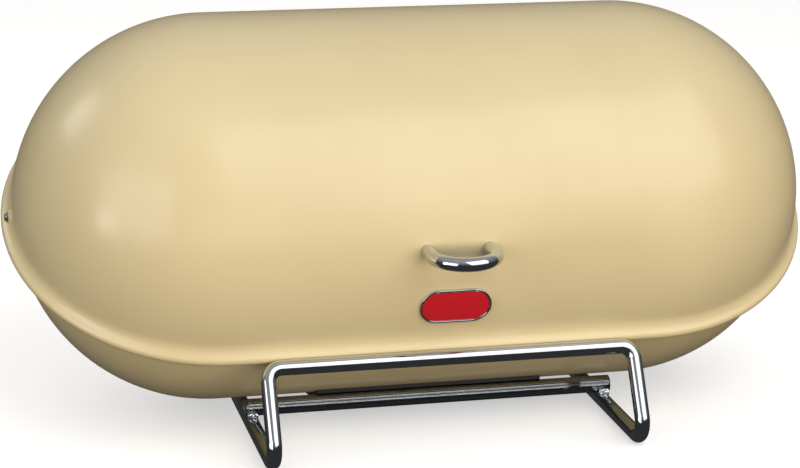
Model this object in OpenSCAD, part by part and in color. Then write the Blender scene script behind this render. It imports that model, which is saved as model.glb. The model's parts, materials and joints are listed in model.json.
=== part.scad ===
// Bread bin: a capsule of painted sheet steel on a stand of bent chrome rod.
// The lid swings up and back round two pins at the poles of the end domes.
// Origin on the floor under the middle of the bin, +Z up, the front faces -Y.

/* [Shells] */
// Outer radius of the lid, round the swing axis
lid_r = 105; // [90:1:125]
// Length of the straight part between the two end domes
straight_len = 226; // [150:1:300]
// Thickness of the lid's sheet steel
lid_wall = 0.8; // [0.6:0.1:1.2]
// Thickness of the base's sheet steel
base_wall = 0.8; // [0.6:0.1:1.2]
// Radial gap between the lid and the base inside it
shell_gap = 1.2; // [0.8:0.1:3]
// Tilt of the split between lid and base, front edge down
split_tilt = 30; // [15:1:40]

/* [Lid edge] */
// Radius of the rolled bead along the lid's edge
bead_r = 3; // [2:0.1:4]
// Gap between the bead and the base
bead_gap = 1; // [0.6:0.1:2]
// Drop of the bead's centre below the swing axis, square to the split
bead_drop = 5.2; // [5:0.1:8]
// Radius of the hollow flare from the lid's wall out to the bead
flare_r = 9; // [6:0.5:14]

/* [Base] */
// Height of the base's edge past the swing axis, up inside the lid
base_rise = 7; // [6:0.5:12]
// Radius of the hem rolled inwards along the base's edge
hem_r = 1.5; // [1:0.1:2]
// Gap between the base and the stand's runners below it
runner_gap = 0.5; // [0.3:0.1:20]
// Diameter of the air holes in the rear of the base
vent_d = 5; // [3:0.5:6]
// Number of air holes along one row
vent_count = 7; // [3:1:9]
// Pitch of the air holes along a row
vent_pitch = 12; // [9:1:16]
// Pitch of the rows of air holes
vent_row = 10.5; // [8:0.5:14]
// Rise of the middle row of air holes over the rear level line, in degrees
vent_angle = -12; // [-20:1:-8]

/* [Pivots] */
// Diameter of the pivot pins
pin_d = 4; // [3:0.1:5]
// How far the pin's head stands out past its shank
pin_head_lip = 0.4; // [0.3:0.1:0.6]
// Thickness of the pin's head
pin_head_t = 1.8; // [1.4:0.1:2.4]
// Radial running clearance of the lid on its pins
pin_play = 0.06; // [0.02:0.01:0.1]
// Diameter of the flat boss pressed in the lid round each pin
boss_d = 8.4; // [8.2:0.1:10]
// How far the boss stands out from the lid's outer radius
boss_rise = 1.4; // [1.2:0.1:3]
// Axial play of the lid's boss between the bush and the pin's head
boss_play = 0.25; // [0.1:0.05:0.5]
// Thickness of the boss
boss_t = 1.6; // [1.2:0.1:2]
// Outer diameter of the washers inside the base
washer_d = 8; // [7:0.5:9]
// Thickness of the washers inside the base
washer_t = 0.8; // [0.5:0.1:1.2]

/* [Handle] */
// Diameter of the handle's rod
handle_rod_d = 7.4; // [6:0.1:9]
// Distance between the centres of the handle's two ends
handle_span = 32.5; // [28:0.5:50]
// Length of the straight stub at each end of the handle
handle_stub = 10.5; // [8:0.5:20]
// Rise of the handle over the front level line, in degrees
handle_angle = -1.3; // [-6:0.1:20]
// Diameter of the screws that hold the handle
handle_screw_d = 4; // [3:0.5:5]
// Depth of the tapped hole in each end of the handle
handle_tap = 9; // [6:1:11]

/* [Badge] */
// Width of the badge
badge_w = 38; // [30:1:50]
// Height of the badge
badge_h = 20; // [14:1:26]
// Thickness of the badge's tray at its edge
badge_t = 1.6; // [1.2:0.1:2.5]
// Width of the raised edge
badge_edge = 1.2; // [0.8:0.1:2]
// Rise of the badge over the front level line, in degrees
badge_angle = -18.5; // [-20:0.5:-16]
// Diameter of the badge's studs
stud_d = 2; // [1.5:0.1:3]
// Distance between the badge's studs
stud_span = 22; // [16:1:24]

/* [Stand] */
// Diameter of the bent rod
rod_d = 8; // [6:0.5:9]
// Diameter of the straight cross rods
cross_d = 9; // [7:0.5:11]
// How far the cross rods reach past the centres of the runners
cross_over = 3.5; // [2:0.5:20]
// Distance between the centres of the two runners
runner_span = 195; // [140:1:270]
// How far the feet stand out past the front bar
leg_splay = 25.7; // [15:0.1:50]
// Centre line radius of the bends at the ends of the bars
bar_bend = 7; // [5:0.5:12]
// Centre line radius of the bends at the feet
foot_bend = 8.5; // [5:0.5:12]
// Direction from the lid's bead down to the front bar, in degrees
stop_angle = 33; // [20:1:45]
// Gap between the closed lid's bead and the front bar
stop_gap = 0.4; // [0.3:0.1:2]
// Gap between the swinging bead and the rear bar
swing_gap = 2.5; // [1:0.1:6]
// Size of the weld beads, added to half the rod's radius
weld_r = 3; // [2:0.1:4]
// Length of the weld beads across the runner
weld_len = 5.6; // [4:0.1:7]

/* [Saddle] */
// Width of the saddle plate
saddle_w = 124; // [90:1:140]
// Thickness of the saddle plate
saddle_t = 2; // [1:0.1:3]
// Half of the plate's wrap round the base, in degrees
saddle_half = 26.8; // [26.4:0.1:32]
// Distance between the rivets along the bin
rivet_span = 90; // [60:1:100]
// Angle of the rivets either side of the lowest line, in degrees
rivet_angle = 12; // [8:1:16]
// Diameter of the rivets' shanks
rivet_d = 4; // [3:0.1:5]
// Diameter of the rivets' heads
rivet_head_d = 7.5; // [6:0.5:9]
// Thickness of the rivets' heads
rivet_head_t = 1.4; // [1:0.1:2]

/* [Hidden] */
$fn = 96;

fit_gap = 0.05;                 // between faces of one body that only touch
through = 20;                   // extra length of a cutting tool
half_len = straight_len / 2;
lid_in_r = lid_r - lid_wall;
base_r = lid_in_r - shell_gap;
base_in_r = base_r - base_wall;
axis_z = rod_d + runner_gap + base_r;
rod_r = rod_d / 2;
cross_r = cross_d / 2;

// The bead's centre, and the flare's centre, which touches the wall and meets the bead
bead_y = base_r + bead_gap + bead_r;
bead_dist = sqrt(bead_y * bead_y + bead_drop * bead_drop);
bead_dip = atan(bead_drop / bead_y);
flare_dist = lid_r + flare_r;
flare_to_bead_dist = flare_r + bead_r - lid_wall / 2;
flare_cos = (flare_dist * flare_dist + bead_dist * bead_dist - pow(flare_to_bead_dist, 2))
    / (2 * flare_dist * bead_dist);
flare_angle = acos(flare_cos) - bead_dip;
flare_at = flare_dist * [cos(flare_angle), sin(flare_angle)];
flare_to_bead = [bead_y, -bead_drop] - flare_at;

// Pivot, counted from the centre of an end dome outwards along the swing axis
pin_head_d = pin_d + 2 * pin_head_lip;
boss_out = lid_r + boss_rise;
boss_in = boss_out - boss_t;
head_in = boss_out + boss_play;
boss_cup_d = boss_d - 2 * lid_wall;
bush_out = boss_in - boss_play;
bush_play = 0.4;                // round the bush, inside the boss
bush_d = boss_cup_d - 2 * bush_play;
washer_in = sqrt(pow(base_in_r, 2) - pow(washer_d / 2, 2)) - fit_gap - washer_t;
tail_t = 1.2;                   // peened end of a pin or rivet
tail_d = 1.5;                   // its diameter as a multiple of the shank
hem_y = sqrt(base_in_r * base_in_r - base_rise * base_rise) - hem_r / 3;
curl_slit = 0.4;                // where the bead's curl ends, facing the base

// Stand: the front bar lies along the closed bead, the rear bar clears the open one
bead_front = [-bead_y * cos(split_tilt) + bead_drop * sin(split_tilt),
    axis_z - bead_y * sin(split_tilt) - bead_drop * cos(split_tilt)];
stop_reach = bead_r + rod_r + stop_gap;
front_bar = bead_front - stop_reach * [cos(stop_angle), sin(stop_angle)];
foot_reach = leg_splay - front_bar[0];
swing_r = sqrt(pow(bead_y, 2) + pow(bead_drop, 2)) + bead_r;
rear_bar_z = front_bar[1];
rear_bar_y = sqrt(pow(swing_r + swing_gap + rod_r, 2) - pow(axis_z - rear_bar_z, 2));
runner_x = runner_span / 2;
bend_swell = 0.03;              // the rod is a touch thicker in its bends
bend_lap = 0.3;                 // how far the straight runs reach into the bends
cross_z = rod_d + cross_r;
saddle_in = base_r + fit_gap;
saddle_out = saddle_in + saddle_t;
cross_y = sqrt(pow(saddle_out + fit_gap + cross_r, 2) - pow(axis_z - cross_z, 2));

rivet_seat = flat_on(base_in_r, washer_d);

// Handle and badge
handle_r = handle_span / 2;
foot_sink = 0.5;                // the feet start this far inside and are cut to the lid's curve
handle_foot = sqrt(pow(lid_r, 2) - pow(handle_rod_d / 2, 2)) - foot_sink;
screw_head_d = 7.6;
screw_head_t = 2.4;
screw_washer_d = 10;
screw_washer_t = 1;
screw_seat = flat_on(lid_in_r, screw_washer_d);
tap_spare = 1;                  // thread left over past the screw's end
screw_end = lid_r + handle_tap - tap_spare;
badge_seat = lid_r + fit_gap;
badge_out = badge_seat + badge_t;
enamel_sink = 0.5;              // enamel below the tray's raised edge
enamel_t = 0.6;
clip_d = 7;
clip_t = 0.8;
clip_seat = flat_on(lid_in_r, clip_d);
stud_tail = 4;                  // reach of the badge's studs inside the lid

// How far out a flat disc lies when its rim touches the inside of a shell
function flat_on(shell_r, disc_d) = sqrt(pow(shell_r - fit_gap, 2) - pow(disc_d / 2, 2));

// Places -------------------------------------------------------------------

// The frame of the split: its Z is square to the split, its Y runs rearwards
module split_frame() {
    translate([0, 0, axis_z]) rotate([split_tilt, 0, 0]) children();
}

// A point on the swing axis' circle: Z looks outwards at an angle over the front level line
module front_frame(angle) {
    translate([0, 0, axis_z]) rotate([90 - angle, 0, 0]) children();
}

// One end of the swing axis: Z looks outwards from the centre of the end dome
module pole_frame(side) {
    translate([side * half_len, 0, axis_z]) rotate([0, side * 90, 0]) children();
}

// A shell made from a half section: two half turns joined by a straight run
module capsule_from_section() {
    for (side = [-1, 1])
        translate([side * half_len, 0, 0])
            rotate([0, 0, side * -90]) rotate_extrude(angle = 180) children();
    rotate([90, 0, 90])
        translate([0, 0, -half_len])
            linear_extrude(straight_len) {
                children();
                mirror([1, 0]) children();
            }
}

// Sections ------------------------------------------------------------------

// A ring between two radii
module ring(outer, inner) {
    difference() {
        circle(outer);
        circle(inner);
    }
}

// The flat wedge at a point between two directions
module wedge(at, from, to) {
    reach = 3 * flare_r;
    unit_from = from / norm(from);
    unit_to = to / norm(to);
    translate(at) polygon([[0, 0], reach * unit_from, reach * (unit_from + unit_to), reach * unit_to]);
}

module lid_section() {
    intersection() {
        ring(lid_r, lid_in_r);
        polygon([[0, 0], 2 * lid_r * [cos(flare_angle), sin(flare_angle)], [2 * lid_r, 2 * lid_r],
            [0, 2 * lid_r]]);
    }
    intersection() {
        translate(flare_at) ring(flare_r + lid_wall, flare_r);
        wedge(flare_at, -flare_at, flare_to_bead);
    }
    translate([bead_y, -bead_drop])
        difference() {
            ring(bead_r, bead_r - lid_wall);
            translate([-2 * bead_r, -curl_slit / 2]) square([2 * bead_r, curl_slit]);
        }
}

module base_section() {
    intersection() {
        ring(base_r, base_in_r);
        translate([0, -2 * base_r]) square([2 * base_r, 2 * base_r + base_rise]);
    }
    translate([hem_y, base_rise]) circle(hem_r);
}

// Shells ----------------------------------------------------------------------

module lid_shell() {
    color("#e0cb9e")
    difference() {
        union() {
            split_frame() capsule_from_section() lid_section();
            for (side = [-1, 1])
                pole_frame(side) translate([0, 0, lid_in_r]) cylinder(d = boss_d, h = boss_out - lid_in_r);
        }
        for (side = [-1, 1])
            pole_frame(side) {
                cylinder(r = pin_d / 2 + pin_play, h = lid_r + through);
                translate([0, 0, boss_out]) cylinder(d = pin_head_d + 2 * boss_play, h = through);
                translate([0, 0, boss_in - through]) cylinder(d = boss_cup_d, h = through);
            }
        front_frame(handle_angle)
            for (side = [-1, 1])
                translate([side * handle_r, 0, 0]) cylinder(d = handle_screw_d + 2 * fit_gap, h = 2 * lid_r);
        front_frame(badge_angle)
            for (side = [-1, 1])
                translate([side * stud_span / 2, 0, 0]) cylinder(d = stud_d + 2 * fit_gap, h = 2 * lid_r);
    }
}

module base_shell() {
    color("#a88f68")
    difference() {
        split_frame() capsule_from_section() base_section();
        for (side = [-1, 1])
            pole_frame(side) cylinder(d = pin_d + 2 * fit_gap, h = lid_r + through);
        saddle_rivet_places() cylinder(d = rivet_d + 2 * fit_gap, h = 2 * base_r);
        vent_places() cylinder(d = vent_d, h = 2 * base_r);
    }
}

// Three rows of air holes, the middle one shifted by half a pitch
module vent_places() {
    row_step = asin(vent_row / base_r);
    for (row = [-1, 0, 1])
        translate([0, 0, axis_z]) rotate([-90 + vent_angle + row * row_step, 0, 0])
            for (i = [0 : vent_count - 1 - abs(row + 1) % 2])
                translate([(i - (vent_count - 1 - abs(row + 1) % 2) / 2) * vent_pitch, 0, 0]) children();
}

// Pivots ------------------------------------------------------------------------

module pivot_pin(side) {
    color("#8f9193")
    pole_frame(side) {
        translate([0, 0, washer_in - fit_gap - tail_t / 2])
            cylinder(d = pin_d, h = head_in - washer_in + fit_gap + (tail_t + pin_head_t) / 2);
        translate([0, 0, washer_in - fit_gap - tail_t]) cylinder(d = tail_d * pin_d, h = tail_t);
        translate([0, 0, head_in])
            rotate_extrude() intersection() {
                square([pin_head_d / 2, pin_head_t]);
                translate([0, pin_head_t - pin_head_d]) circle(pin_head_d);
            }
    }
}

module pivot_bush(side) {
    color("#e9e6dc")
    pole_frame(side)
        translate([0, 0, base_r + fit_gap])
            difference() {
                cylinder(d = bush_d, h = bush_out - base_r - fit_gap);
                translate([0, 0, -through / 2]) cylinder(d = pin_d + 2 * fit_gap, h = through);
            }
}

module pivot_washer(side) {
    color("#b9bbbd")
    pole_frame(side)
        translate([0, 0, washer_in])
            difference() {
                cylinder(d = washer_d, h = washer_t);
                translate([0, 0, -through / 2]) cylinder(d = pin_d + 2 * fit_gap, h = through);
            }
}

// Handle ------------------------------------------------------------------------

module handle() {
    color("#c9ccd0")
    front_frame(handle_angle)
        difference() {
            union() {
                for (side = [-1, 1])
                    translate([side * handle_r, 0, lid_r + handle_stub]) mirror([0, 0, 1])
                        cylinder(d = handle_rod_d, h = lid_r - handle_foot + handle_stub);
                translate([0, 0, lid_r + handle_stub])
                    rotate([90, 0, 0]) rotate_extrude(angle = 180)
                        translate([handle_r, 0]) circle(d = handle_rod_d);
            }
            cylinder_across(lid_r + fit_gap);
            for (side = [-1, 1])
                translate([side * handle_r, 0, lid_r - through])
                    cylinder(d = handle_screw_d, h = handle_tap + through);
        }
}

// A cylinder along the swing axis, in the frame of front_frame
module cylinder_across(radius) {
    rotate([0, 90, 0]) cylinder(r = radius, h = 2 * handle_span, center = true, $fn = 180);
}

module handle_screws() {
    color("#9a9da0")
    front_frame(handle_angle)
        for (side = [-1, 1])
            translate([side * handle_r, 0, 0]) {
                translate([0, 0, screw_seat - screw_washer_t - screw_head_t])
                    cylinder(d = screw_head_d, h = screw_head_t);
                translate([0, 0, screw_seat - screw_washer_t - screw_head_t / 2])
                    cylinder(d = handle_screw_d - 2 * fit_gap,
                        h = screw_end - screw_seat + screw_washer_t + screw_head_t / 2);
            }
}

module handle_washers() {
    color("#2b2b2b")
    front_frame(handle_angle)
        for (side = [-1, 1])
            translate([side * handle_r, 0, screw_seat - screw_washer_t])
                difference() {
                    cylinder(d = screw_washer_d, h = screw_washer_t);
                    translate([0, 0, -through / 2]) cylinder(d = handle_screw_d + 2 * fit_gap, h = through);
                }
}

// Badge ---------------------------------------------------------------------------

// Outline of the badge: an oval with round ends
module badge_outline(inset) {
    end_r = badge_h / 2 - inset;
    for (side = [-1, 1])
        translate([side * (badge_w - badge_h) / 2, 0]) circle(end_r);
    square([badge_w - badge_h, 2 * end_r], center = true);
}

// What lies between two radii round the swing axis, within an outline
module curved_slab(inner, outer, inset) {
    intersection() {
        translate([0, 0, inner - badge_h]) linear_extrude(2 * badge_h) badge_outline(inset);
        rotate([0, 90, 0])
            difference() {
                cylinder(r = outer, h = 2 * badge_w, center = true, $fn = 180);
                cylinder(r = inner, h = 3 * badge_w, center = true, $fn = 180);
            }
    }
}

module badge_plate() {
    color("#d6d8db")
    front_frame(badge_angle) {
        difference() {
            curved_slab(badge_seat, badge_out, 0);
            curved_slab(badge_out - enamel_sink - enamel_t, badge_out + badge_t, badge_edge);
        }
        for (side = [-1, 1])
            translate([side * stud_span / 2, 0, lid_in_r - stud_tail])
                cylinder(d = stud_d, h = badge_seat + enamel_sink - lid_in_r + stud_tail);
    }
}

module badge_enamel() {
    color("#b3161c")
    front_frame(badge_angle)
        curved_slab(badge_out - enamel_sink - enamel_t + fit_gap, badge_out - enamel_sink,
            badge_edge + fit_gap);
}

module badge_clips() {
    color("#6f7275")
    front_frame(badge_angle)
        for (side = [-1, 1])
            translate([side * stud_span / 2, 0, clip_seat - clip_t])
                difference() {
                    cylinder(d = clip_d, h = clip_t);
                    translate([0, 0, -through / 2]) cylinder(d = stud_d + 2 * fit_gap, h = through);
                }
}

// Stand -----------------------------------------------------------------------------

// A straight rod from one point to another
module rod_between(from, to, radius) {
    run = to - from;
    dist = norm(run);
    translate(from)
        rotate([0, acos(run[2] / dist), atan2(run[1], run[0])])
            cylinder(r = radius, h = dist);
}

// A bend at a corner: an arc of the rod that meets both straight runs end to end
module rod_bend(before, corner, after, bend, radius) {
    to_before = (before - corner) / norm(before - corner);
    to_after = (after - corner) / norm(after - corner);
    half = acos(to_before * to_after) / 2;
    middle = (to_before + to_after) / norm(to_before + to_after);
    centre = corner + middle * bend / sin(half);
    normal = cross(to_after, to_before) / norm(cross(to_after, to_before));
    out = -middle;
    side = cross(normal, out);
    multmatrix([[out[0], side[0], normal[0], centre[0]], [out[1], side[1], normal[1], centre[1]],
        [out[2], side[2], normal[2], centre[2]], [0, 0, 0, 1]])
        rotate([0, 0, half - 90])
            rotate_extrude(angle = 180 - 2 * half) translate([bend, 0]) circle(radius);
}

function corner_cut(before, corner, after, bend) =
    bend / tan(acos((before - corner) * (after - corner)
        / (norm(before - corner) * norm(after - corner))) / 2);

bends_at = [bar_bend, foot_bend, foot_bend, bar_bend, bar_bend, foot_bend, foot_bend, bar_bend];
corners = [
    [-runner_x, front_bar[0], front_bar[1]],
    [-runner_x, -foot_reach, rod_r],
    [-runner_x, foot_reach, rod_r],
    [-runner_x, rear_bar_y, rear_bar_z],
    [runner_x, rear_bar_y, rear_bar_z],
    [runner_x, foot_reach, rod_r],
    [runner_x, -foot_reach, rod_r],
    [runner_x, front_bar[0], front_bar[1]]];

module stand_loop() {
    count = len(corners);
    color("#c4c7cb")
    for (i = [0 : count - 1]) {
        before = corners[(i + count - 1) % count];
        here = corners[i];
        next = corners[(i + 1) % count];
        beyond = corners[(i + 2) % count];
        rod_bend(before, here, next, bends_at[i], rod_r + bend_swell);
        along = (next - here) / norm(next - here);
        rod_between(here + along * (corner_cut(before, here, next, bends_at[i]) - bend_lap),
            next - along * (corner_cut(here, next, beyond, bends_at[(i + 1) % count]) - bend_lap),
            rod_r);
    }
}

module cross_rod(way) {
    color("#b9bcc0")
    translate([0, way * cross_y, cross_z])
        rotate([0, 90, 0]) cylinder(r = cross_r, h = runner_span + 2 * cross_over, center = true);
}

// A weld bead in the notch on the inner side of each crossing of rod and runner
module rod_welds() {
    color("#a7aaad")
    for (way = [-1, 1], side = [-1, 1])
        translate([side * runner_x, way * cross_y, rod_d])
            difference() {
                rotate([0, 90, 0]) cylinder(r = weld_r + rod_r / 2, h = weld_len, center = true);
                translate([0, 0, cross_r]) rotate([0, 90, 0])
                    cylinder(r = cross_r + fit_gap, h = 3 * rod_d, center = true);
                translate([0, 0, -rod_r]) rotate([90, 0, 0])
                    cylinder(r = rod_r + fit_gap, h = 4 * rod_d, center = true);
            }
}

// Saddle -----------------------------------------------------------------------------

// Places of the four saddle rivets: Z looks outwards, down from the swing axis
module saddle_rivet_places() {
    for (along = [-1, 1], way = [-1, 1])
        translate([along * rivet_span / 2, 0, axis_z]) rotate([180 + way * rivet_angle, 0, 0]) children();
}

module saddle_plate() {
    color("#4a4b4d")
    difference() {
        translate([-saddle_w / 2, 0, axis_z])
            rotate([0, 90, 0]) rotate([0, 0, -saddle_half])
                rotate_extrude(angle = 2 * saddle_half)
                    translate([saddle_in, 0]) square([saddle_t, saddle_w]);
        saddle_rivet_places() cylinder(d = rivet_d + 2 * fit_gap, h = 2 * base_r);
    }
}

module saddle_rivets() {
    color("#9fa1a3")
    saddle_rivet_places() {
        translate([0, 0, rivet_seat - washer_t - fit_gap - tail_t])
            cylinder(d = tail_d * rivet_d, h = tail_t);
        translate([0, 0, rivet_seat - washer_t - fit_gap - tail_t / 2])
            cylinder(d = rivet_d,
                h = saddle_out - rivet_seat + washer_t + 2 * fit_gap + (tail_t + rivet_head_t) / 2);
        translate([0, 0, saddle_out + fit_gap])
            cylinder(d = rivet_head_d, h = rivet_head_t);
    }
}

module saddle_washers() {
    color("#b9bbbd")
    saddle_rivet_places()
        translate([0, 0, rivet_seat - washer_t])
            difference() {
                cylinder(d = washer_d, h = washer_t);
                translate([0, 0, -through / 2]) cylinder(d = rivet_d + 2 * fit_gap, h = through);
            }
}

lid_shell();
base_shell();
handle();
handle_screws();
handle_washers();
badge_plate();
badge_enamel();
badge_clips();
pivot_pin(-1);  // left_pivot_pin
pivot_pin(1);  // right_pivot_pin
pivot_bush(-1);  // left_pivot_bush
pivot_bush(1);  // right_pivot_bush
pivot_washer(-1);  // left_pivot_washer
pivot_washer(1);  // right_pivot_washer
stand_loop();
cross_rod(-1);  // front_cross_rod
cross_rod(1);  // rear_cross_rod
rod_welds();
saddle_plate();
saddle_rivets();
saddle_washers();
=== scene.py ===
# %% [markdown]
# # A capsule bread bin in Blender
# The bin is two shells of thin sheet steel, a lid and a base, on a stand bent from chrome rod.
# The measured model is loaded first as a fixed frame: it says where every piece is and what moves.
# Everything below gives it finer surfaces and finishes, in metres, in that same frame.

# %% Load the frame
import json
import math
import bpy
from mathutils import Matrix, Vector


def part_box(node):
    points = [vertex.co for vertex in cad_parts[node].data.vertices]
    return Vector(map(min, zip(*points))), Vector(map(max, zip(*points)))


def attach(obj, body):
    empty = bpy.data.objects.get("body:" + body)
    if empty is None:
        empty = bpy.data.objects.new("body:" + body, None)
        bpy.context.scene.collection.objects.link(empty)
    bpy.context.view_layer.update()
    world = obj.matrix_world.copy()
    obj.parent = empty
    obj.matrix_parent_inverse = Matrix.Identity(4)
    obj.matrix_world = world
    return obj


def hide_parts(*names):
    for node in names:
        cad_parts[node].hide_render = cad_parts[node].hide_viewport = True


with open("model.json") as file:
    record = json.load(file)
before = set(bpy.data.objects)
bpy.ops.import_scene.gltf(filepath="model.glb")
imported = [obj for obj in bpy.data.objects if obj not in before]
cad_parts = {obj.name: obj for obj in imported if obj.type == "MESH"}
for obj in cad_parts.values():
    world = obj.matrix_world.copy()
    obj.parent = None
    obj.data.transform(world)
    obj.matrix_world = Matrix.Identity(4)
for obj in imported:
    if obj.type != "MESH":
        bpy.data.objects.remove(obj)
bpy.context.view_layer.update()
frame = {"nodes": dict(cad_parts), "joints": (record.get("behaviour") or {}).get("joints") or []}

MM = 0.001
nodes = frame["nodes"]
axis_z = frame["joints"][0]["pos_m"][2]

# %% [markdown]
# ## Camera
# A long lens a good metre away, a little above the bin and to its left, flattens the perspective
# as a catalogue view does. A small lens shift lowers the view without turning the camera further,
# which keeps the near legs of the stand from spreading.

# %% Set up the camera
camera = bpy.data.objects.new("camera", bpy.data.cameras.new("camera"))
bpy.context.scene.collection.objects.link(camera)
bpy.context.scene.camera = camera
yaw, pitch, roll = math.radians(13.28), math.radians(12.95), math.radians(0.43)
forward = Vector((math.sin(yaw) * math.cos(pitch), math.cos(yaw) * math.cos(pitch), -math.sin(pitch)))
right = forward.cross(Vector((0, 0, 1))).normalized()
up = right.cross(forward)
tip = Matrix.Rotation(-roll, 3, forward)
right, up = tip @ right, tip @ up
camera.matrix_world = Matrix.Translation((-0.2902, -1.2080, 0.4158)) @ Matrix(
    (right, up, -forward)).transposed().to_4x4()
camera.data.lens = 104.5
camera.data.sensor_width = 36
camera.data.shift_x = -0.0028
camera.data.shift_y = -0.0874
camera.data.clip_end = 20
print("camera looks along", [round(v, 3) for v in forward])

# %% [markdown]
# ## Helpers for finishes
# Colours are picked as sRGB hex values, the way paint and metal charts give them, and one function
# turns them to the linear light that shaders work in. One more function adds a node, sets its
# values and links its inputs, so each finish below reads as a short list of what it is made of.

# %% Colour and node helpers
def linear(code):
    values = []
    for i in (1, 3, 5):
        c = int(code[i:i + 2], 16) / 255
        values.append(c / 12.92 if c <= 0.04045 else ((c + 0.055) / 1.055) ** 2.4)
    return (*values, 1.0)


def add_node(tree, kind, settings=None, values=None, links=None):
    node = tree.nodes.new(kind)
    for name, value in (settings or {}).items():
        setattr(node, name, value)
    for name, value in (values or {}).items():
        node.inputs[name].default_value = value
    for name, source in (links or {}).items():
        tree.links.new(source, node.inputs[name])
    return node


def finish_of(name, values):
    material = bpy.data.materials.new(name)
    material.use_nodes = True
    shader = material.node_tree.nodes["Principled BSDF"]
    for socket, value in values.items():
        shader.inputs[socket].default_value = value
    return material, material.node_tree, shader


def per_metre(size_mm):
    return 1 / (size_mm * MM)


print("helpers ready; cream is", [round(v, 3) for v in linear("#DCCA9D")])

# %% [markdown]
# ## Powder-coated steel
# The shells are pressed from steel sheet, sprayed with a polyester powder and baked. The powder
# melts into a thick glossy skin that is never quite flat: a soft orange peel of 2 to 3 mm waves
# bends the reflections a little. The colour drifts by a hair and the gloss is uneven where the
# powder lay thinner. A clear coat layer over a satin body gives that deep, soft-edged shine.

# %% Cream powder coat
cream_coat, tree, shader = finish_of("powder_coated_steel_cream", {
    "Roughness": 0.36, "IOR": 1.5, "Coat Weight": 0.45, "Coat Roughness": 0.19, "Coat IOR": 1.5})
place = add_node(tree, "ShaderNodeTexCoord")
drift = add_node(tree, "ShaderNodeTexNoise", values={"Scale": per_metre(70), "Detail": 3.0},
                 links={"Vector": place.outputs["Object"]})
tone = add_node(tree, "ShaderNodeValToRGB", links={"Fac": drift.outputs["Fac"]})
tone.color_ramp.elements[0].position, tone.color_ramp.elements[0].color = 0.3, linear("#DCCA9D")
tone.color_ramp.elements[1].position, tone.color_ramp.elements[1].color = 0.7, linear("#E1D0A3")
tree.links.new(tone.outputs["Color"], shader.inputs["Base Color"])
patches = add_node(tree, "ShaderNodeTexNoise", values={"Scale": per_metre(12), "Detail": 4.0},
                   links={"Vector": place.outputs["Object"]})
gloss = add_node(tree, "ShaderNodeMapRange", values={"To Min": 0.33, "To Max": 0.40},
                 links={"Value": patches.outputs["Fac"]})
tree.links.new(gloss.outputs["Result"], shader.inputs["Roughness"])
peel = add_node(tree, "ShaderNodeTexNoise", values={"Scale": per_metre(2.5), "Detail": 1.0},
                links={"Vector": place.outputs["Object"]})
bump = add_node(tree, "ShaderNodeBump", values={"Strength": 0.12, "Distance": 0.00006},
                links={"Height": peel.outputs["Fac"]})
tree.links.new(bump.outputs["Normal"], shader.inputs["Normal"])
print("made", cream_coat.name)

# %% [markdown]
# ## Chrome plate
# The rods are polished, plated with nickel and then with a skin of chromium. It mirrors the room:
# most of what is seen on it is the dark and light around it. The rod was drawn through a die and
# bent, so faint waves stay under the plate, and polishing leaves the gloss a little uneven.

# %% Chrome
chrome, tree, shader = finish_of("chrome_plated_steel", {
    "Base Color": linear("#C4C8CC"), "Metallic": 1.0, "Roughness": 0.06})
place = add_node(tree, "ShaderNodeTexCoord")
haze = add_node(tree, "ShaderNodeTexNoise", values={"Scale": per_metre(5), "Detail": 5.0},
                links={"Vector": place.outputs["Object"]})
gloss = add_node(tree, "ShaderNodeMapRange", values={"To Min": 0.035, "To Max": 0.10},
                 links={"Value": haze.outputs["Fac"]})
tree.links.new(gloss.outputs["Result"], shader.inputs["Roughness"])
tint = add_node(tree, "ShaderNodeValToRGB", links={"Fac": haze.outputs["Fac"]})
tint.color_ramp.elements[0].color = linear("#BBC0C5")
tint.color_ramp.elements[1].color = linear("#CBCED1")
tree.links.new(tint.outputs["Color"], shader.inputs["Base Color"])
waves = add_node(tree, "ShaderNodeTexNoise", values={"Scale": per_metre(6), "Detail": 2.0},
                 links={"Vector": place.outputs["Object"]})
bump = add_node(tree, "ShaderNodeBump", values={"Strength": 0.06, "Distance": 0.00006},
                links={"Height": waves.outputs["Fac"]})
tree.links.new(bump.outputs["Normal"], shader.inputs["Normal"])
print("made", chrome.name)

# %% [markdown]
# ## Red enamel
# The plaque's tray is filled with vitreous enamel, a coloured glass melted onto the metal. It is
# deep red and very shiny, with a skin that dips slightly where the melt drew together.

# %% Red enamel
red_enamel, tree, shader = finish_of("vitreous_enamel_red", {
    "Roughness": 0.12, "IOR": 1.52, "Coat Weight": 0.6, "Coat Roughness": 0.04, "Coat IOR": 1.52})
place = add_node(tree, "ShaderNodeTexCoord")
melt = add_node(tree, "ShaderNodeTexNoise", values={"Scale": per_metre(4), "Detail": 3.0},
                links={"Vector": place.outputs["Object"]})
tone = add_node(tree, "ShaderNodeValToRGB", links={"Fac": melt.outputs["Fac"]})
tone.color_ramp.elements[0].color = linear("#C61C26")
tone.color_ramp.elements[1].color = linear("#D8242F")
tree.links.new(tone.outputs["Color"], shader.inputs["Base Color"])
gloss = add_node(tree, "ShaderNodeMapRange", values={"To Min": 0.09, "To Max": 0.18},
                 links={"Value": melt.outputs["Fac"]})
tree.links.new(gloss.outputs["Result"], shader.inputs["Roughness"])
bump = add_node(tree, "ShaderNodeBump", values={"Strength": 0.15, "Distance": 0.0001},
                links={"Height": melt.outputs["Fac"]})
tree.links.new(bump.outputs["Normal"], shader.inputs["Normal"])
print("made", red_enamel.name)

# %% [markdown]
# ## The finishes that hide underneath
# The saddle that carries the base is coated satin black. Screws, pins, rivets and washers are
# zinc-plated steel, a grey metal with a fine matt bloom. The washers under the handle's screws
# are rubber, and the bushes that the lid turns against are nylon. All four are one recipe: a
# colour that drifts, a gloss that varies and a fine bump, with sizes that fit each of them.

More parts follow.
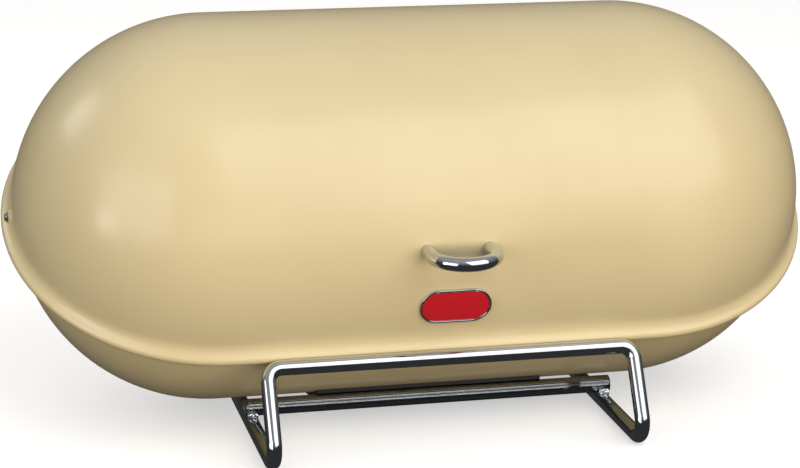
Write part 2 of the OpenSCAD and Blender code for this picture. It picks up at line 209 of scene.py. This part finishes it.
# %% Black coat, zinc, rubber and nylon
def grained(name, dark, light, metallic, gloss_range, grain_mm, depth_mm):
    material, tree, shader = finish_of(name, {"Metallic": metallic})
    place = add_node(tree, "ShaderNodeTexCoord")
    grain = add_node(tree, "ShaderNodeTexNoise", values={"Scale": per_metre(grain_mm), "Detail": 4.0},
                     links={"Vector": place.outputs["Object"]})
    tone = add_node(tree, "ShaderNodeValToRGB", links={"Fac": grain.outputs["Fac"]})
    tone.color_ramp.elements[0].position, tone.color_ramp.elements[0].color = 0.3, linear(dark)
    tone.color_ramp.elements[1].position, tone.color_ramp.elements[1].color = 0.7, linear(light)
    tree.links.new(tone.outputs["Color"], shader.inputs["Base Color"])
    gloss = add_node(tree, "ShaderNodeMapRange",
                     values={"To Min": gloss_range[0], "To Max": gloss_range[1]},
                     links={"Value": grain.outputs["Fac"]})
    tree.links.new(gloss.outputs["Result"], shader.inputs["Roughness"])
    bump = add_node(tree, "ShaderNodeBump", values={"Strength": 0.3, "Distance": depth_mm * MM},
                    links={"Height": grain.outputs["Fac"]})
    tree.links.new(bump.outputs["Normal"], shader.inputs["Normal"])
    return material


black_coat = grained("powder_coated_steel_black", "#131314", "#1E1E20", 0.0, (0.35, 0.5), 1.2, 0.05)
zinc = grained("zinc_plated_steel", "#8E9194", "#AAADB0", 1.0, (0.25, 0.42), 0.8, 0.03)
rubber = grained("moulded_rubber_black", "#161616", "#202020", 0.0, (0.7, 0.85), 0.6, 0.05)
nylon = grained("moulded_nylon", "#DAD7CC", "#E4E1D8", 0.0, (0.4, 0.55), 1.5, 0.03)
print("made", black_coat.name, zinc.name, rubber.name, nylon.name)

# %% [markdown]
# ## Finishes for the pieces kept from the frame
# The pieces that are right as they are keep their measured shape and only change their finish.

# %% Give the kept pieces their finish
kept = {
    "handle_screws": zinc, "badge_clips": zinc, "left_pivot_washer": zinc, "right_pivot_washer": zinc,
    "saddle_rivets": zinc, "saddle_washers": zinc, "handle_washers": rubber,
    "left_pivot_bush": nylon, "right_pivot_bush": nylon, "saddle_plate": black_coat}
for name, material in kept.items():
    for slot in nodes[name].material_slots:
        slot.material = material
print("finished", len(kept), "kept pieces")

# %% [markdown]
# ## Modelling helpers
# Most of the bin is bent from sheet or rod, so most pieces start the same way: one vertex is drawn
# along an outline, edge by edge, like a pen line. What an operator does depends on what is selected,
# so everything is deselected first. When a piece is done its place is moved into its mesh.

# %% Draw an outline and close a piece
def draw_line(name, points, closed=False):
    """One vertex drawn through the points, which are in millimetres, and back to the first if closed."""
    bpy.ops.object.select_all(action="DESELECT")
    bpy.ops.mesh.primitive_plane_add(size=MM)
    piece = bpy.context.object
    piece.name = name
    bpy.ops.object.mode_set(mode="EDIT")
    bpy.ops.mesh.merge(type="CENTER")
    bpy.ops.transform.translate(value=Vector(points[0]) * MM)
    for before, after in zip(points, points[1:]):
        step = (Vector(after) - Vector(before)) * MM
        bpy.ops.mesh.extrude_region_move(TRANSFORM_OT_translate={"value": step})
    if closed:
        bpy.ops.mesh.select_all(action="DESELECT")
        bpy.ops.object.mode_set(mode="OBJECT")
        for i in (0, len(points) - 1):
            piece.data.vertices[i].select = True
        bpy.ops.object.mode_set(mode="EDIT")
        bpy.ops.mesh.edge_face_add()
    bpy.ops.object.mode_set(mode="OBJECT")
    return piece


def apply_modifier(piece, kind, **settings):
    bpy.context.view_layer.objects.active = piece
    modifier = piece.modifiers.new(kind.lower(), kind)
    for name, value in settings.items():
        setattr(modifier, name, value)
    bpy.ops.object.modifier_apply(modifier=modifier.name)


def settle(piece, location=(0, 0, 0), turn=(0, 0, 0)):
    """Turns and moves the piece, then leaves its place in its mesh."""
    bpy.ops.object.select_all(action="DESELECT")
    piece.select_set(True)
    bpy.context.view_layer.objects.active = piece
    piece.rotation_euler = turn
    piece.location = location
    bpy.ops.object.transform_apply(location=True, rotation=True, scale=True)


def clad(piece, body, material, slot, *replaced):
    """Gives the piece its finish and its body, and hides the frame nodes that it stands for."""
    piece.data.materials.clear()
    piece.data.materials.append(material)
    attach(piece, body)
    if replaced:
        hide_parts(*replaced)
    print(f"{piece.name}: {len(piece.data.polygons)} faces, replaces {replaced}")


def arc(centre, radius, start, end, steps):
    """Points of an arc, counted in degrees from the first axis, without its first point."""
    return [(centre[0] + radius * math.cos(math.radians(start + (end - start) * i / steps)),
             centre[1] + radius * math.sin(math.radians(start + (end - start) * i / steps)))
            for i in range(1, steps + 1)]


print("modelling helpers ready")

# %% [markdown]
# ## The lid's outline
# The lid is drawn and spun from one sheet. Its wall is a quarter circle that runs smoothly through
# a hollow flare into a curl, the rolled bead that stiffens the edge and hides the sharp cut. All
# three are arcs that touch each other, so light runs over them without a break. The outline is
# worked out in the lid's own upright frame, out from the middle and up from the swing axis.

# %% Work out the lid's outline
LID_R, BASE_R, HALF_LEN, WALL = 105.0, 103.0, 113.0, 0.8
BEAD_R, BEAD_GAP, BEAD_DROP, BEAD_CURL, FLARE_R = 3.0, 1.0, 5.2, 285, 9.0
bead = Vector((BASE_R + BEAD_GAP + BEAD_R, -BEAD_DROP))
reach = LID_R + FLARE_R
spread = math.degrees(math.acos(
    (reach ** 2 + bead.length ** 2 - (FLARE_R + BEAD_R) ** 2) / (2 * reach * bead.length)))
flare_turn = spread - math.degrees(math.atan2(-bead.y, bead.x))
flare = reach * Vector((math.cos(math.radians(flare_turn)), math.sin(math.radians(flare_turn))))
to_bead = math.degrees(math.atan2(bead.y - flare.y, bead.x - flare.x)) % 360
lid_line = [(0.0, LID_R)]
lid_line += arc((0, 0), LID_R, 90, flare_turn, 48)
lid_line += arc(flare, FLARE_R, 180 + flare_turn, to_bead, 10)
lid_line += arc(bead, BEAD_R, to_bead - 180, to_bead - 180 - BEAD_CURL, 28)
print(len(lid_line), "points; the flare starts", round(flare_turn, 2), "degrees above the axis")

# %% [markdown]
# ## From outline to shell
# A lathe can only make round shells, so the capsule is swept by hand: the outline is pulled along
# half of the straight run, spun half a turn round the end dome's centre, and pulled back. A mirror
# makes the other half. The sheet then gets its thickness inwards with Solidify, so that the curl
# of the bead is a real curl with an open end.

# %% Sweep an outline round the capsule
def sweep_capsule(name, outline):
    piece = draw_line(name, [(0, -out, height) for out, height in outline])
    bpy.ops.object.mode_set(mode="EDIT")
    bpy.ops.mesh.select_all(action="SELECT")
    pull = Vector((HALF_LEN * MM, 0, 0))
    bpy.ops.mesh.extrude_region_move(TRANSFORM_OT_translate={"value": pull})
    bpy.ops.mesh.spin(steps=64, angle=-math.pi, center=pull, axis=(0, 0, 1))
    bpy.ops.mesh.extrude_region_move(TRANSFORM_OT_translate={"value": -pull})
    bpy.ops.mesh.select_all(action="SELECT")
    bpy.ops.mesh.remove_doubles(threshold=0.01 * MM)
    bpy.ops.object.mode_set(mode="OBJECT")
    apply_modifier(piece, "MIRROR", use_axis=(True, False, False), merge_threshold=0.01 * MM)
    bpy.ops.object.mode_set(mode="EDIT")
    bpy.ops.mesh.select_all(action="SELECT")
    bpy.ops.mesh.remove_doubles(threshold=0.01 * MM)
    bpy.ops.mesh.normals_make_consistent(inside=False)
    bpy.ops.object.mode_set(mode="OBJECT")
    apply_modifier(piece, "SOLIDIFY", thickness=WALL * MM, offset=-1.0)
    return piece


def cut_holes(piece, holes):
    """Cuts round holes; each is a centre, a direction, a radius and a length, in millimetres."""
    bpy.ops.object.select_all(action="DESELECT")
    drills = []
    for centre, direction, radius, length in holes:
        turn = Vector(direction).to_track_quat("Z", "Y").to_euler()
        bpy.ops.mesh.primitive_cylinder_add(vertices=32, radius=radius * MM, depth=length * MM,
                                            location=Vector(centre) * MM, rotation=turn)
        drills.append(bpy.context.object)
    for drill in drills:
        drill.select_set(True)
    bpy.context.view_layer.objects.active = drills[0]
    bpy.ops.object.join()
    drill = bpy.context.object
    apply_modifier(piece, "BOOLEAN", operation="DIFFERENCE", solver="EXACT", object=drill)
    bpy.data.objects.remove(drill)


TILT = math.radians(30)
BOSS_RISE, BOSS_HOLE_R, HEAD_HOLE_R, DRILL = 1.4, 3.4, 2.65, 20.0
lid = sweep_capsule("lid", lid_line)
settle(lid, location=(0, 0, axis_z), turn=(TILT, 0, 0))
pole = axis_z / MM
drill_out = LID_R + BOSS_RISE + DRILL / 2
for out, radius, length in ((LID_R, BOSS_HOLE_R, DRILL / 5), (drill_out, HEAD_HOLE_R, DRILL)):
    cut_holes(lid, [((side * (HALF_LEN + out), 0, pole), (side, 0, 0), radius, length)
                    for side in (-1, 1)])
lid.select_set(True)
bpy.ops.object.shade_smooth_by_angle(angle=math.radians(35))
clad(lid, "lid", cream_coat, "cream_coat", "lid_shell")
low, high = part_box("lid_shell")
print("lid box", [round(v / MM, 1) for v in low], [round(v / MM, 1) for v in high])

# %% [markdown]
# ## The pressed boss round each pin
# At each end of the swing axis the sheet is pressed outwards into a small flat boss, so that the
# pin's head and the lid turn on a flat seat. It is drawn as the section of a shallow cup and spun
# one full turn round the axis, like a piece on a lathe.

# %% Spin a round piece about the swing axis
def spin_round(name, line, steps=40):
    """line holds pairs of distance outwards along the axis and radius, in millimetres."""
    piece = draw_line(name, [(along, 0, radius) for along, radius in line])
    bpy.ops.object.mode_set(mode="EDIT")
    bpy.ops.mesh.select_all(action="SELECT")
    bpy.ops.mesh.spin(steps=steps, angle=2 * math.pi, center=(0, 0, 0), axis=(1, 0, 0))
    bpy.ops.mesh.select_all(action="SELECT")
    bpy.ops.mesh.remove_doubles(threshold=0.005 * MM)
    bpy.ops.mesh.normals_make_consistent(inside=False)
    bpy.ops.object.mode_set(mode="OBJECT")
    return piece


BOSS_OUT, PIN_R, PIN_PLAY, BOSS_R, CUP_R = LID_R + BOSS_RISE, 2.0, 0.06, 4.2, 3.45
BOSS_IN = BOSS_OUT - 1.6
boss_line = [(BOSS_OUT, PIN_R + PIN_PLAY)]
boss_line += [(x, r) for r, x in arc((BOSS_R - 0.7, BOSS_OUT - 0.7), 0.7, 90, 0, 6)]
boss_line += [(LID_R - 0.5, BOSS_R), (LID_R - 0.5, CUP_R), (BOSS_IN + 0.4, CUP_R),
              (BOSS_IN, CUP_R - 0.45), (BOSS_IN, PIN_R + PIN_PLAY), (BOSS_OUT, PIN_R + PIN_PLAY)]
for side, label in ((-1, "left"), (1, "right")):
    boss = spin_round(label + "_boss", boss_line)
    settle(boss, location=(side * HALF_LEN * MM, 0, axis_z), turn=(0, 0, 0 if side == 1 else math.pi))
    bpy.ops.object.shade_smooth_by_angle(angle=math.radians(35))
    clad(boss, "lid", cream_coat, "cream_coat")

# %% [markdown]
# ## Pivot pins
# Each pin is a turned steel rivet: a low domed head outside, a plain shank through boss, bush and
# base, and a tail hammered over a washer inside. One outline holds all three.

# %% Turn the two pins
HEAD_IN, HEAD_R, HEAD_T, SHANK_IN = BOSS_OUT + 0.25, 2.4, 1.8, 101.17
head_top = HEAD_IN + HEAD_T
pin_line = [(head_top - drop, radius) for drop, radius in (
    (0, 0.0), (0.06, 0.8), (0.25, 1.5), (0.55, 2.0), (0.95, 2.3), (1.25, HEAD_R))]
pin_line += [(HEAD_IN + 0.1, HEAD_R), (HEAD_IN, HEAD_R - 0.1), (HEAD_IN, PIN_R),
                   (SHANK_IN, PIN_R), (SHANK_IN, 2.9), (SHANK_IN - 0.4, 3.0), (SHANK_IN - 0.9, 2.7),
                   (SHANK_IN - 1.15, 2.0), (SHANK_IN - 1.2, 0.0)]
for side, label in ((-1, "left"), (1, "right")):
    pin = spin_round(label + "_pin", pin_line)
    settle(pin, location=(side * HALF_LEN * MM, 0, axis_z), turn=(0, 0, 0 if side == 1 else math.pi))
    bpy.ops.object.shade_smooth_by_angle(angle=math.radians(40))
    clad(pin, "bin", zinc, "plain_steel", label + "_pivot_pin")
low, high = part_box("left_pivot_pin")
print("pin box", [round(v / MM, 2) for v in low], [round(v / MM, 2) for v in high])

# %% [markdown]
# ## The base
# The base is the lid's smaller twin. Its wall passes the swing axis inside the lid and ends in a
# hem, the edge rolled inwards so that no hand meets a cut edge. Three rows of holes in the rear
# let the bread breathe, with the middle row shifted by half a pitch.

# %% Sweep the base and drill its holes
BASE_RISE, HEM_R, HEM_CURL = 7.0, 1.5, 260
hem_turn = math.degrees(math.asin(BASE_RISE / BASE_R))
hem_out = Vector((math.cos(math.radians(hem_turn)), math.sin(math.radians(hem_turn))))
hem_centre = (BASE_R - HEM_R) * hem_out
base_line = [(0.0, -BASE_R)]
base_line += arc((0, 0), BASE_R, -90, hem_turn, 50)
base_line += arc(hem_centre, HEM_R, hem_turn, hem_turn + HEM_CURL, 16)
base = sweep_capsule("base", base_line)
settle(base, location=(0, 0, axis_z), turn=(TILT, 0, 0))
VENT_R, VENT_PITCH, VENT_ROW, VENT_TURN, VENT_DRILL = 2.5, 12.0, 10.5, -12, 12
row_step = math.degrees(math.asin(VENT_ROW / BASE_R))
holes = [((side * (HALF_LEN + BASE_R), 0, pole), (side, 0, 0), PIN_R + 0.05, VENT_DRILL)
         for side in (-1, 1)]
for row, count in ((-1, 7), (0, 6), (1, 7)):
    turn = math.radians(VENT_TURN + row * row_step)
    direction = Vector((0, math.cos(turn), math.sin(turn)))
    for i in range(count):
        centre = direction * BASE_R + Vector(((i - (count - 1) / 2) * VENT_PITCH, 0, pole))
        holes.append((centre, direction, VENT_R, VENT_DRILL))
cut_holes(base, holes)
base.select_set(True)
bpy.ops.object.shade_smooth_by_angle(angle=math.radians(35))
clad(base, "bin", cream_coat, "cream_coat", "base_shell")
low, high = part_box("base_shell")
print("base box", [round(v / MM, 1) for v in low], [round(v / MM, 1) for v in high])

# %% [markdown]
# ## Bent rod
# A rod keeps its round section through every bend, so it is drawn as a line with rounded corners,
# turned into a curve and given the rod's radius as its bevel. Each corner is an arc that touches
# both straight runs, as the former of a bending machine leaves it.

# %% Round the corners of a path and make it a rod
def round_corner(before, corner, after, radius, steps=14):
    back, on = (before - corner).normalized(), (after - corner).normalized()
    half = back.angle(on) / 2
    middle = (back + on).normalized()
    centre = corner + middle * radius / math.sin(half)
    first = corner + back * radius / math.tan(half) - centre
    normal = first.cross(corner + on * radius / math.tan(half) - centre).normalized()
    sweep = math.pi - 2 * half
    return [centre + Matrix.Rotation(sweep * i / steps, 3, normal) @ first for i in range(steps + 1)]


def make_rod(name, points, radius, closed):
    rod = draw_line(name, points, closed)
    bpy.ops.object.convert(target="CURVE")
    rod = bpy.context.object
    rod.data.dimensions = "3D"
    rod.data.bevel_depth = radius * MM
    rod.data.bevel_resolution = 10
    rod.data.use_fill_caps = True
    bpy.ops.object.convert(target="MESH")
    rod = bpy.context.object
    bpy.ops.object.mode_set(mode="EDIT")
    bpy.ops.mesh.select_all(action="SELECT")
    bpy.ops.mesh.remove_doubles(threshold=0.005 * MM)
    bpy.ops.mesh.normals_make_consistent(inside=False)
    bpy.ops.object.mode_set(mode="OBJECT")
    bpy.ops.object.shade_smooth_by_angle(angle=math.radians(40))
    return rod


print("rod helpers ready")

# %% [markdown]
# ## The stand
# One closed loop of 8 mm rod makes both runners, all four legs and the two bars. The front bar
# lies just under the closed lid's bead, and the rear bar clears the bead as the lid swings back.

# %% Bend the stand's loop
ROD_R, RUNNER_X, LEG_SPLAY, BAR_BEND, FOOT_BEND = 4.0, 97.5, 25.7, 7, 8.5
STOP_TURN, STOP_GAP, SWING_GAP = math.radians(33), 0.4, 2.5
low, high = (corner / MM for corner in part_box("stand_loop"))
BAR_Z = high.z - ROD_R
bead_front = Vector((-bead.x * math.cos(TILT) - bead.y * math.sin(TILT),
                     pole - bead.x * math.sin(TILT) + bead.y * math.cos(TILT)))
front_y = bead_front.x - (BEAD_R + ROD_R + STOP_GAP) * math.cos(STOP_TURN)
rear_y = math.sqrt((bead.length + BEAD_R + SWING_GAP + ROD_R) ** 2 - (pole - BAR_Z) ** 2)
foot_y = LEG_SPLAY - front_y
corners = [Vector((-RUNNER_X, front_y, BAR_Z)), Vector((-RUNNER_X, -foot_y, ROD_R)),
           Vector((-RUNNER_X, foot_y, ROD_R)), Vector((-RUNNER_X, rear_y, BAR_Z)),
           Vector((RUNNER_X, rear_y, BAR_Z)), Vector((RUNNER_X, foot_y, ROD_R)),
           Vector((RUNNER_X, -foot_y, ROD_R)), Vector((RUNNER_X, front_y, BAR_Z))]
bends = [BAR_BEND, FOOT_BEND, FOOT_BEND, BAR_BEND] * 2
loop = []
for i, corner in enumerate(corners):
    loop += round_corner(corners[i - 1], corner, corners[(i + 1) % len(corners)], bends[i])
stand = make_rod("stand", loop, ROD_R, True)
clad(stand, "bin", chrome, "chrome_plate", "stand_loop")
print("bars at height", round(BAR_Z, 2), "front", round(front_y, 2), "rear", round(rear_y, 2))

# %% [markdown]
# ## Cross rods
# Two straight lengths of thicker rod are welded across the runners to carry the saddle. They are
# sawn square, and the plating rounds the sawn rim a little, which a narrow bevel gives.

# %% Cut the cross rods
def make_cross_rod(name, node):
    low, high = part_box(node)
    middle, size = (low + high) / 2, high - low
    bpy.ops.object.select_all(action="DESELECT")
    bpy.ops.mesh.primitive_cylinder_add(vertices=64, radius=size.z / 2, depth=size.x,
                                        location=middle, rotation=(0, math.pi / 2, 0))
    rod = bpy.context.object
    rod.name = name
    settle(rod, location=middle, turn=(0, math.pi / 2, 0))
    bpy.ops.object.mode_set(mode="EDIT")
    bpy.ops.mesh.select_all(action="DESELECT")
    bpy.ops.object.mode_set(mode="OBJECT")
    for face in rod.data.polygons:
        face.select = abs(face.normal.x) > 0.9
    bpy.ops.object.mode_set(mode="EDIT")
    bpy.ops.mesh.inset(thickness=1.2 * MM, use_individual=True)
    bpy.ops.object.mode_set(mode="OBJECT")
    apply_modifier(rod, "BEVEL", width=0.45 * MM, segments=3, limit_method="ANGLE",
                   angle_limit=math.radians(60))
    bpy.ops.object.shade_smooth_by_angle(angle=math.radians(35))
    clad(rod, "bin", chrome, "chrome_plate", node)


make_cross_rod("front_rod", "front_cross_rod")
make_cross_rod("rear_rod", "rear_cross_rod")

# %% [markdown]
# ## Weld beads
# Where rod crosses rod the welder leaves a small lumpy collar, and the plating follows every lump.
# The measured wedges fill the right space, so a copy of them is welded into one skin, remeshed
# into small even faces, softened, and pushed about by a coarse noise.

# %% Soften the welds
bpy.ops.object.select_all(action="DESELECT")
welds = nodes["rod_welds"].copy()
welds.data = nodes["rod_welds"].data.copy()
for key in list(welds.keys()):
    if key.startswith("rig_"):
        del welds[key]
welds.parent = None
welds.name = "weld_beads"
bpy.context.scene.collection.objects.link(welds)
welds.select_set(True)
bpy.context.view_layer.objects.active = welds
bpy.ops.object.mode_set(mode="EDIT")
bpy.ops.mesh.select_all(action="SELECT")
bpy.ops.mesh.remove_doubles(threshold=0.01 * MM)
bpy.ops.object.mode_set(mode="OBJECT")
apply_modifier(welds, "REMESH", mode="VOXEL", voxel_size=0.3 * MM)
apply_modifier(welds, "SMOOTH", factor=0.6, iterations=6)
lumps = bpy.data.textures.new("weld_lumps", "CLOUDS")
lumps.noise_scale = 1.6 * MM
apply_modifier(welds, "DISPLACE", texture=lumps, strength=0.5 * MM, mid_level=0.35)
bpy.ops.object.shade_smooth()
clad(welds, "bin", chrome, "chrome_plate", "rod_welds")

# %% [markdown]
# ## The handle
# The handle is a short chrome bow of 7.4 mm rod, held from inside by two screws. It stands out
# level from the lid's front: two stubs and half a turn between them.

# %% Bend the handle
HANDLE_R, STUB, HANDLE_ROD, HANDLE_TURN = 16.25, 10.5, 3.7, -1.3
foot, bow_out = LID_R - 0.2, LID_R + STUB
bow = [(-HANDLE_R, foot), (-HANDLE_R, foot + 3), (-HANDLE_R, bow_out)]
bow += arc((0, bow_out), HANDLE_R, 180, 0, 48)
bow += [(HANDLE_R, foot + 3), (HANDLE_R, foot)]
handle_line = [(x, 0, z) for x, z in bow]
handle = make_rod("handle_bow", handle_line, HANDLE_ROD, False)
settle(handle, location=(0, 0, axis_z), turn=(math.radians(90 - HANDLE_TURN), 0, 0))
clad(handle, "lid", chrome, "chrome_plate", "handle")

# %% [markdown]
# ## The plaque
# Under the handle sits a small oval plaque: a chromed tray with a raised rim, filled with red
# enamel. Its outline is a circle whose two halves are moved apart. The tray's floor is sunk with
# an inset and a push, its edges are rounded with a bevel, and then each row of its vertices is
# pushed back onto the curve of the lid, so that it lies against it without a gap.

# %% Make an oval slab that lies on the lid
def make_oval(name, width, height, inset, bottom, top):
    bpy.ops.object.select_all(action="DESELECT")
    radius = (height / 2 - inset) * MM
    bpy.ops.mesh.primitive_circle_add(vertices=64, radius=radius, fill_type="NGON",
                                      rotation=(0, 0, math.pi / 64), location=(0, 0, bottom * MM))
    piece = bpy.context.object
    piece.name = name
    settle(piece, location=(0, 0, bottom * MM), turn=(0, 0, math.pi / 64))
    half = (width - height) / 2 * MM
    for side in (-1, 1):
        bpy.ops.object.mode_set(mode="EDIT")
        bpy.ops.mesh.select_all(action="DESELECT")
        bpy.ops.object.mode_set(mode="OBJECT")
        for vertex in piece.data.vertices:
            vertex.select = vertex.co.x * side > 0
        bpy.ops.object.mode_set(mode="EDIT")
        bpy.ops.transform.translate(value=(side * half, 0, 0))
    bpy.ops.mesh.select_all(action="SELECT")
    bpy.ops.mesh.extrude_region_move(TRANSFORM_OT_translate={"value": (0, 0, (top - bottom) * MM)})
    bpy.ops.object.mode_set(mode="OBJECT")
    return piece


def select_top(piece):
    bpy.ops.object.mode_set(mode="EDIT")
    bpy.ops.mesh.select_all(action="DESELECT")
    bpy.ops.object.mode_set(mode="OBJECT")
    top = max(face.center.z for face in piece.data.polygons)
    for face in piece.data.polygons:
        face.select = face.center.z > top - 0.001 * MM and face.normal.z > 0.9
    bpy.ops.object.mode_set(mode="EDIT")


def lay_on_lid(piece, radius, rows):
    """Slices the piece into rows and pushes each row back by what the lid's curve falls away."""
    bpy.ops.object.mode_set(mode="EDIT")
    for y in rows:
        bpy.ops.mesh.select_all(action="SELECT")
        bpy.ops.mesh.bisect(plane_co=(0, y * MM, 0), plane_no=(0, 1, 0))
    bpy.ops.mesh.select_all(action="DESELECT")
    bpy.ops.object.mode_set(mode="OBJECT")
    heights = sorted({round(vertex.co.y / MM, 4) for vertex in piece.data.vertices})
    for y in heights:
        for vertex in piece.data.vertices:
            vertex.select = abs(vertex.co.y / MM - y) < 0.0002
        bpy.ops.object.mode_set(mode="EDIT")
        fall = math.sqrt(radius ** 2 - y ** 2) - radius
        bpy.ops.transform.translate(value=(0, 0, fall * MM))
        bpy.ops.mesh.select_all(action="DESELECT")
        bpy.ops.object.mode_set(mode="OBJECT")


BADGE_W, BADGE_H, BADGE_T, BADGE_EDGE, BADGE_SINK, BADGE_TURN = 38.0, 20.0, 1.6, 1.2, 1.05, -18.5
badge_seat = LID_R + 0.05
rows = [-8.5, -6.5, -4.5, -2.5, -0.5, 1.5, 3.5, 5.5, 7.5, 9.0]
tray = make_oval("plaque_tray", BADGE_W, BADGE_H, 0, badge_seat, badge_seat + BADGE_T)
select_top(tray)
bpy.ops.mesh.inset(thickness=BADGE_EDGE * MM)
bpy.ops.mesh.extrude_region_move(TRANSFORM_OT_translate={"value": (0, 0, -BADGE_SINK * MM)})
bpy.ops.object.mode_set(mode="OBJECT")
apply_modifier(tray, "BEVEL", width=0.35 * MM, segments=3, limit_method="ANGLE",
               angle_limit=math.radians(50))
lay_on_lid(tray, LID_R, rows)
settle(tray, location=(0, 0, axis_z), turn=(math.radians(90 - BADGE_TURN), 0, 0))
bpy.ops.object.shade_smooth_by_angle(angle=math.radians(40))
clad(tray, "lid", chrome, "chrome_plate", "badge_plate")

# %% [markdown]
# ## The enamel fill
# The enamel is a thin lens of glass that climbs the tray's wall a little and is fullest in the
# middle, so its face is raised in three shallow steps that smooth shading turns into one swell.

# %% Fill the tray
enamel_top = badge_seat + BADGE_T - 0.62
fill = make_oval("plaque_enamel", BADGE_W, BADGE_H, BADGE_EDGE + 0.02, badge_seat + 0.6, enamel_top)
for inset, rise in ((0.5, 0.10), (0.9, 0.07), (1.6, 0.05), (2.4, 0.03)):
    select_top(fill)
    bpy.ops.mesh.inset(thickness=inset * MM)
    bpy.ops.transform.translate(value=(0, 0, rise * MM))
    bpy.ops.object.mode_set(mode="OBJECT")
lay_on_lid(fill, LID_R, rows)
settle(fill, location=(0, 0, axis_z), turn=(math.radians(90 - BADGE_TURN), 0, 0))
bpy.ops.object.shade_smooth_by_angle(angle=math.radians(50))
clad(fill, "lid", red_enamel, "red_enamel", "badge_enamel")

# %% [markdown]
# ## Floor and studio light
# The bin stands on a plain pale floor. The floor glows a little, so that it stays pale to the edge
# of the view, but it neither lights the bin nor shows in its gloss, so that the underside and the
# feet stay dark and the shape reads clearly. The room itself is dim towards the horizon, which draws
# dark edges round chrome and gloss, and it is pale only where it is looked at directly.
#
# Softboxes do the rest. A large key high on the right gives the broad sheen on the lid, a smaller
# one behind picks out the left dome, and a wide one on the left softens that side. Three more only
# fill: one glances off the left end, and the ones low in front and high behind are kept out of
# mirror reflections, or they would show as white bands in the chrome.

# %% Floor, room and softboxes
bpy.ops.object.select_all(action="DESELECT")
bpy.ops.mesh.primitive_plane_add(size=12)
floor = bpy.context.object
floor.name = "floor"
pale, tree, shader = finish_of("pale_floor", {
    "Base Color": linear("#EDEDED"), "Roughness": 0.8,
    "Emission Color": (1, 1, 1, 1), "Emission Strength": 0.5})
floor.data.materials.append(pale)
floor.visible_diffuse = False
floor.visible_glossy = False

world = bpy.data.worlds.new("studio")
bpy.context.scene.world = world
world.use_nodes = True
tree = world.node_tree
tree.nodes.clear()
place = add_node(tree, "ShaderNodeTexCoord")
split = add_node(tree, "ShaderNodeSeparateXYZ", links={"Vector": place.outputs["Generated"]})
height = add_node(tree, "ShaderNodeValToRGB", links={"Fac": split.outputs["Z"]})
horizon, overhead = height.color_ramp.elements
horizon.position, horizon.color = 0.0, (0.055, 0.055, 0.055, 1)
overhead.position, overhead.color = 0.8, (0.55, 0.55, 0.56, 1)
room = add_node(tree, "ShaderNodeBackground", values={"Strength": 0.8},
                links={"Color": height.outputs["Color"]})
seen = add_node(tree, "ShaderNodeBackground", values={"Color": (1, 1, 1, 1), "Strength": 1.0})
path = add_node(tree, "ShaderNodeLightPath")
mix = add_node(tree, "ShaderNodeMixShader", links={"Fac": path.outputs["Is Camera Ray"]})
tree.links.new(room.outputs["Background"], mix.inputs[1])
tree.links.new(seen.outputs["Background"], mix.inputs[2])
add_node(tree, "ShaderNodeOutputWorld", links={"Surface": mix.outputs["Shader"]})


def softbox(name, at, target, size, power, colour=(1, 1, 1), mirrored=True):
    lamp = bpy.data.lights.new(name, "AREA")
    lamp.color = colour
    lamp.shape = "RECTANGLE"
    lamp.size, lamp.size_y = size
    lamp.energy = power
    box = bpy.data.objects.new(name, lamp)
    bpy.context.scene.collection.objects.link(box)
    look = Vector(target) - Vector(at)
    box.matrix_world = Matrix.Translation(at) @ look.to_track_quat("-Z", "Y").to_matrix().to_4x4()
    box.visible_glossy = mirrored


WARM = (1.0, 0.86, 0.68)
softbox("key", (0.86, -1.35, 1.20), (0.0, 0, 0.12), (2.0, 1.9), 21)
softbox("left_rim", (-1.34, 0.70, 0.99), (-0.1, 0, 0.12), (0.5, 0.5), 2.2)
softbox("low_left", (-1.5, -0.62, 0.16), (-0.1, 0, 0.12), (0.3, 0.25), 1.3, WARM)
softbox("front_fill", (0.3, -1.9, 0.12), (0.1, 0, 0.12), (2.2, 0.5), 23, WARM, mirrored=False)
softbox("left_fill", (-1.7, -1.3, 0.5), (-0.1, 0, 0.12), (1.7, 1.3), 14)
softbox("rear_fill", (0.0, 1.5, 1.5), (0.0, 0, 0.10), (2.4, 0.8), 5, WARM, mirrored=False)
bpy.context.scene.view_settings.view_transform = "Standard"
print("floor, room and", len(bpy.data.lights), "softboxes")
